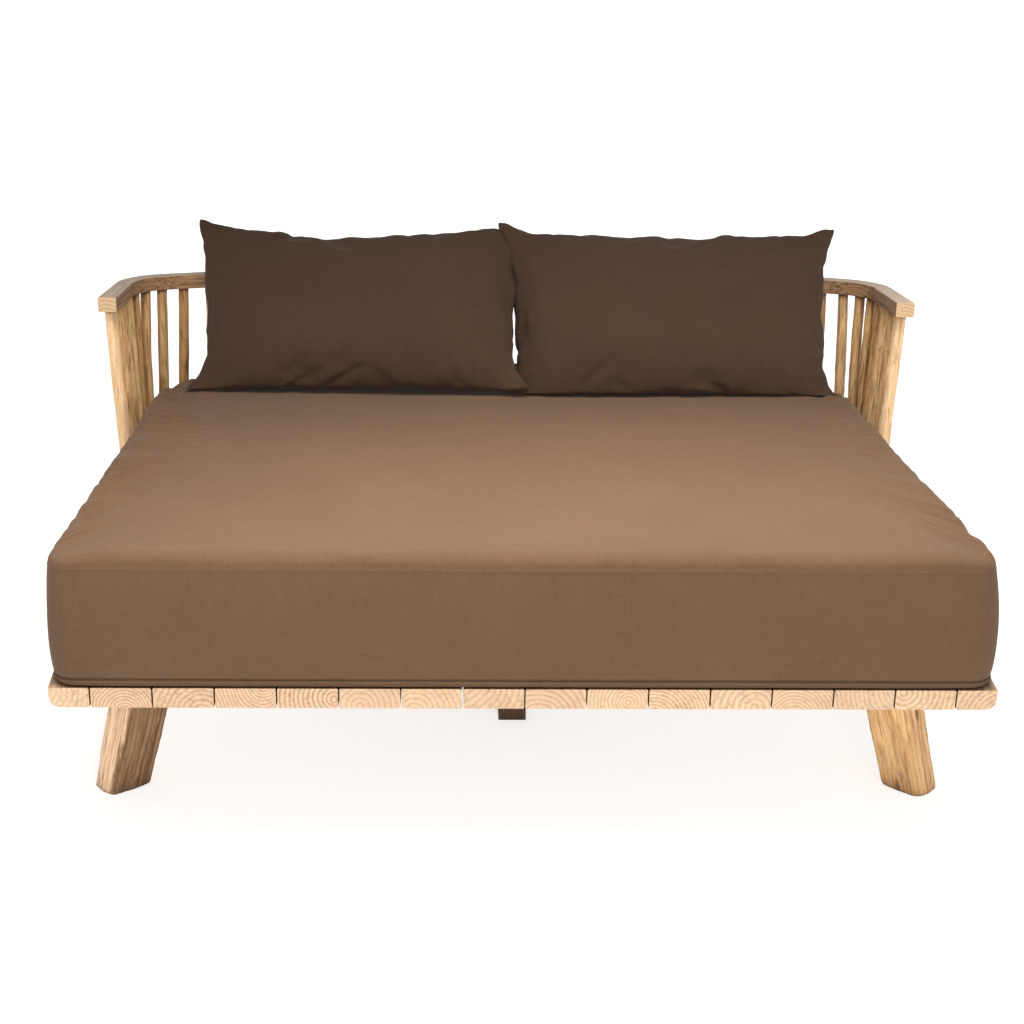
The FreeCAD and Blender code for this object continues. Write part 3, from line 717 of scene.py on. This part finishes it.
def top_loops(bm, edge_points):
    """Loops from the upper seam in to a short spine across the middle of the top."""
    spine_y = (MATTRESS_LOW.y + MATTRESS_HIGH.y) / 2
    loops = []
    for ring in range(1, TOP_RINGS + 1):
        t = (ring / TOP_RINGS) ** 1.7
        loop = []
        for edge in edge_points:
            spine_x = max(-SPINE_HALF, min(SPINE_HALF, edge.x))
            goal = Vector((round(spine_x / SPINE_STEP) * SPINE_STEP, spine_y, edge.z))
            place = edge.lerp(goal, t)
            inward = min((place - edge).length, abs(place.y - edge.y) + abs(place.x - edge.x))
            place.z = top_height(place, edge, inward, (1 - t) ** 1.5)
            loop.append(bm.verts.new(place))
        loops.append(loop)
    return loops


def make_mattress():
    """Box mattress: piped lower edge, bowed sides, a seam under a full, gathered top."""
    weld = 0.0002
    bm = bmesh.new()
    loops = side_loops(bm, mattress_outline(OUTLINE_SPACING))
    loops += top_loops(bm, [Vector(vert.co) for vert in loops[-1]])
    skin(bm, loops)
    bm.faces.new(reversed(loops[0]))
    bmesh.ops.remove_doubles(bm, verts=loops[-1], dist=weld)
    piece = object_from(bm, "mattress_sewn", canvas("mattress_canvas", MATTRESS_BROWN))
    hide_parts("mattress_cover", "mattress_core")
    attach(piece, "mattress")


# ---- back cushions ----

CUSHION_LEAN = math.radians(32)
CUSHION_HEIGHT = 0.425
CUSHION_THICKNESS = 0.170
CUSHION_CELL = 0.0095
PRESSURE = 7.0
CLOTH_FRAMES = 30
FOLD_LIMIT = 0.009
EAR_SIZE = 0.042
SEAM_GATHER = 0.030

# How far each corner, (side, end), reaches out sideways and lengthwise.
LEFT_EARS = {(-1, -1): (0.050, 0.004), (1, -1): (0.042, 0.004),
             (-1, 1): (0.010, 0.014), (1, 1): (-0.006, 0.0)}
RIGHT_EARS = {(-1, -1): (0.040, 0.004), (1, -1): (0.036, 0.004),
              (-1, 1): (0.024, 0.025), (1, 1): (0.026, 0.024)}


def sewn_panels(name, width, height):
    """Two flat panels joined round the edge, in the XZ plane, and the vertex numbers of each as a grid."""
    across = round(width / CUSHION_CELL)
    upward = round(height / CUSHION_CELL)
    bm = bmesh.new()
    grids = []
    for side in (-1, 1):
        grid = []
        for j in range(upward + 1):
            row = []
            for i in range(across + 1):
                on_edge = i in (0, across) or j in (0, upward)
                if side == 1 and on_edge:
                    row.append(grids[0][j][i])
                    continue
                swell = 0.0 if on_edge else side * 0.006
                row.append(bm.verts.new((width * (i / across - 0.5), swell, height * (j / upward - 0.5))))
            grid.append(row)
        grids.append(grid)
        for j in range(upward):
            for i in range(across):
                corners = (grid[j][i], grid[j][i + 1], grid[j + 1][i + 1], grid[j + 1][i])
                bm.faces.new(corners if side == -1 else tuple(reversed(corners)))
    bm.verts.index_update()
    numbers = [np.array([[vert.index for vert in row] for row in grid]) for grid in grids]
    mesh = bpy.data.meshes.new(name)
    bm.to_mesh(mesh)
    bm.free()
    piece = bpy.data.objects.new(name, mesh)
    bpy.context.scene.collection.objects.link(piece)
    return piece, numbers


def inflate(piece):
    """Blows the sewn panels up as cloth, so that folds run in from the edges."""
    modifier = piece.modifiers.new("cloth", "CLOTH")
    settings = modifier.settings
    settings.quality = 7
    settings.mass = 0.3
    settings.tension_stiffness = 60.0
    settings.compression_stiffness = 60.0
    settings.shear_stiffness = 18.0
    settings.bending_stiffness = 0.4
    settings.air_damping = 6.0
    settings.use_pressure = True
    settings.uniform_pressure_force = PRESSURE
    settings.effector_weights.gravity = 0.0
    modifier.point_cache.frame_end = CLOTH_FRAMES + 1
    scene = bpy.context.scene
    for step in range(1, CLOTH_FRAMES + 1):
        scene.frame_set(step)
    apply_modifiers(piece)
    scene.frame_set(1)


def cloth_folds(points, numbers):
    """The folds alone: the blown-up cloth less a smoothed copy of itself, up to a limit."""
    folds = np.zeros_like(points)
    for grid in numbers:
        rough = points[grid]
        smooth = rough.copy()
        for _ in range(50):
            smooth[1:-1, 1:-1] = (smooth[:-2, 1:-1] + smooth[2:, 1:-1]
                                  + smooth[1:-1, :-2] + smooth[1:-1, 2:]) / 4
        folds[grid] = rough - smooth
    size = np.linalg.norm(folds, axis=1, keepdims=True)
    return folds * np.minimum(1.0, FOLD_LIMIT / np.maximum(size, 1e-9))


def eased(step, steps):
    """-1 to 1 along a grid line, with the points closer together near the ends."""
    t = 2 * step / (steps - 1) - 1
    return 0.3 * t + 0.7 * math.sin(math.pi / 2 * t)


def tuck(place, from_seam):
    """Up to 1 where a gather pinches the seam, fading away from it."""
    return (1 - abs(noise.noise(Vector(place)))) ** 9 * math.exp(-from_seam / SEAM_GATHER)


def pillow_shape(numbers, count, half_width, spread, sag, ears, seed):
    """A full pillow: nearly straight edges, thin ears at the corners, short gathers along the seam.

    spread is how much wider the upper edge is than the middle, and sag how far its centre dips.
    """
    points = np.zeros((count, 3))
    rows, columns = numbers[0].shape
    for face, grid in zip((-1, 1), numbers):
        for j in range(rows):
            v = eased(j, rows)
            for i in range(columns):
                u = eased(i, columns)
                from_side = half_width * (1 - abs(u))
                from_end = CUSHION_HEIGHT / 2 * (1 - abs(v))
                ear = ears[(1 if u > 0 else -1, 1 if v > 0 else -1)]
                tip = math.exp(-((from_side + from_end) / EAR_SIZE) ** 1.7)
                along_top = noise.noise(Vector((u * 5.5, 3.0 + seed, v * 0.4)))
                along_side = noise.noise(Vector((u * 0.4, 9.0 + seed, v * 4.0)))
                tuck_top = tuck((u * 7.0, seed, 0.0), from_end)
                tuck_side = tuck((0.0, seed, v * 5.0), from_side)
                x = u * (half_width + spread * v - 0.006 * (1 - v * v)) + math.copysign(ear[0] * tip, u)
                x -= u * (0.003 * tuck_side + 0.002 * along_side * (1 - v ** 4)) * abs(u) ** 5
                drop = (sag if v > 0 else 0.004) * (1 - u * u)
                z = v * (CUSHION_HEIGHT / 2 - drop) + math.copysign(ear[1] * tip, v)
                z -= v * (0.003 * tuck_top + 0.003 * along_top * (1 - u ** 4)) * abs(v) ** 5
                full = math.sqrt((1 - abs(u) ** 3.2) * (1 - abs(v) ** 2.6))
                full *= 1 - 0.30 * min(1.0, tuck_top + tuck_side)
                soft = 1 + 0.07 * noise.noise(Vector((u * 2.4, seed * 2.0 + face, v * 1.8)))
                crumple = 0.010 * min(1.0, 1.5 * tip) * noise.noise(Vector((u * 24, seed, v * 15)))
                points[grid[j][i]] = (x, face * CUSHION_THICKNESS / 2 * full * soft + crumple, z)
    return points


def lean_and_rest(points, middle_x, low, high, half_width, ear_forward):
    """Leans the pillow back onto the mattress and flattens it where it rests.

    ear_forward is (which side meets the other cushion, how far that side's lower ear moves along Y);
    its upper ear moves the opposite way.
    """
    inner_side, shift = ear_forward
    inner = np.clip(1 - (half_width - points[:, 0] * inner_side) / 0.07, 0.0, 1.2)
    upper = np.clip(points[:, 2] / CUSHION_HEIGHT + 0.5, 0.0, 1.0)
    points[:, 1] += inner ** 1.5 * shift * (1 - 2 * upper)
    lean_cos = math.cos(CUSHION_LEAN)
    lean_sin = math.sin(CUSHION_LEAN)
    y = points[:, 1] * lean_cos + points[:, 2] * lean_sin
    z = points[:, 2] * lean_cos - points[:, 1] * lean_sin
    leaned = np.column_stack((points[:, 0] + middle_x, y + (low.y + high.y) / 2, z))
    leaned[:, 2] += high.z - leaned[:, 2].max()
    rest = MATTRESS_HIGH.z + 0.0045
    soft = 0.02
    squashed = rest + soft * np.exp((leaned[:, 2] - rest - soft) / soft)
    leaned[:, 2] = np.where(leaned[:, 2] < rest + soft, squashed, leaned[:, 2])
    return leaned


def make_cushion(name, middle_x, half_width, spread, sag, ears, ear_forward, seed):
    """A full, knife-edged pillow with the folds of a cloth simulation on it, leant back on the mattress."""
    low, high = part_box(name + "_cover")
    piece, numbers = sewn_panels(name + "_sewn", 2 * half_width, CUSHION_HEIGHT)
    count = len(piece.data.vertices)
    points = pillow_shape(numbers, count, half_width, spread, sag, ears, seed)
    inflate(piece)
    blown = np.array([vert.co for vert in piece.data.vertices])
    points += cloth_folds(blown, numbers)
    points = lean_and_rest(points, middle_x, low, high, half_width, ear_forward)
    for vert, point in zip(piece.data.vertices, points):
        vert.co = point
    subdivision = piece.modifiers.new("smooth", "SUBSURF")
    subdivision.levels = 1
    subdivision.render_levels = 1
    apply_modifiers(piece)
    for face in piece.data.polygons:
        face.use_smooth = True
    piece.data.materials.append(canvas(name + "_canvas", CUSHION_BROWN_AND_PAINTED_SHADE))
    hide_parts(name + "_cover", name + "_fill")
    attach(piece, name)


# ---- studio ----

# (radius, height) of the paper sweep's rings, from the middle of the floor to the top of the wall.
SWEEP = ((0.02, 0.0), (3.0, 0.0), (8.0, 0.0), (9.5, 0.35), (10.6, 1.4), (11.0, 3.0), (11.0, 6.0))


def make_studio():
    """A round paper sweep that glows a little, a white world, and broad lights at and over the front."""
    bm = bmesh.new()
    sides = 64
    rings = []
    for radius, height in SWEEP:
        ring = []
        for side in range(sides):
            turn = math.tau * side / sides
            ring.append(bm.verts.new((radius * math.cos(turn), radius * math.sin(turn), height)))
        rings.append(ring)
    bm.faces.new(rings[0])
    skin(bm, rings)
    n = Nodes("studio_paper")
    speckle = n.noise(n.object_coordinates, 40.0)
    n.shader.inputs["Emission Color"].default_value = (1.0, 1.0, 1.0, 1.0)
    away = n.add("ShaderNodeVectorMath", {0: n.object_coordinates}, operation="LENGTH").outputs["Value"]
    full_ramp = 4.0
    glow = n.grey(n.math("DIVIDE", away, full_ramp), 0.26, 0.55, 0.69, 0.93)
    n.put(glow, n.shader.inputs["Emission Strength"])
    paper = n.finish(n.grey(speckle, 0.0, 1.0, 0.53, 0.57), n.grey(speckle, 0, 1, 0.9, 0.95),
                     n.bump(speckle, 0.02, 0.001))
    object_from(bm, "studio_floor", paper)
    world = bpy.data.worlds.new("studio")
    bpy.context.scene.world = world
    world.use_nodes = True
    background = world.node_tree.nodes["Background"]
    background.inputs["Color"].default_value = (1.0, 1.0, 1.0, 1.0)
    background.inputs["Strength"].default_value = 0.25
    add_area("over_front", (0.05, FRONT_Y + 0.12, 2.2), (0.04, FRONT_Y + 0.16, 0.5), (2.1, 0.6), 35.0, 106)
    add_area("front", (0.3, FRONT_Y - 3.2, 1.2), (0.0, FRONT_Y, 0.4), (1.8, 1.0), 14.0, 110)
    bpy.context.scene.view_settings.view_transform = "Standard"


def add_area(name, place, target, size, power, spread):
    """A soft box with its light held within the spread, in degrees, and hidden from the camera."""
    data = bpy.data.lights.new(name, "AREA")
    data.shape = "RECTANGLE"
    data.size = size[0]
    data.size_y = size[1]
    data.energy = power
    data.spread = math.radians(spread)
    light = bpy.data.objects.new(name, data)
    light.location = place
    light.rotation_euler = (Vector(target) - Vector(place)).to_track_quat("-Z", "Y").to_euler()
    light.visible_camera = False
    bpy.context.scene.collection.objects.link(light)


make_camera()
make_studio()
finish_planks()
finish_rail()
finish_plain_parts()
make_spindles()
make_legs()
make_mattress()
make_cushion("left_cushion", -0.3465, 0.375, 0.0125, 0.036, LEFT_EARS, (1, -0.022), 4.0)
make_cushion("right_cushion", 0.3930, 0.377, 0.012, 0.004, RIGHT_EARS, (-1, 0.022), 17.0)


def plain(box):
    """A box's corners as plain lists."""
    return [[float(value) for value in corner] for corner in box]
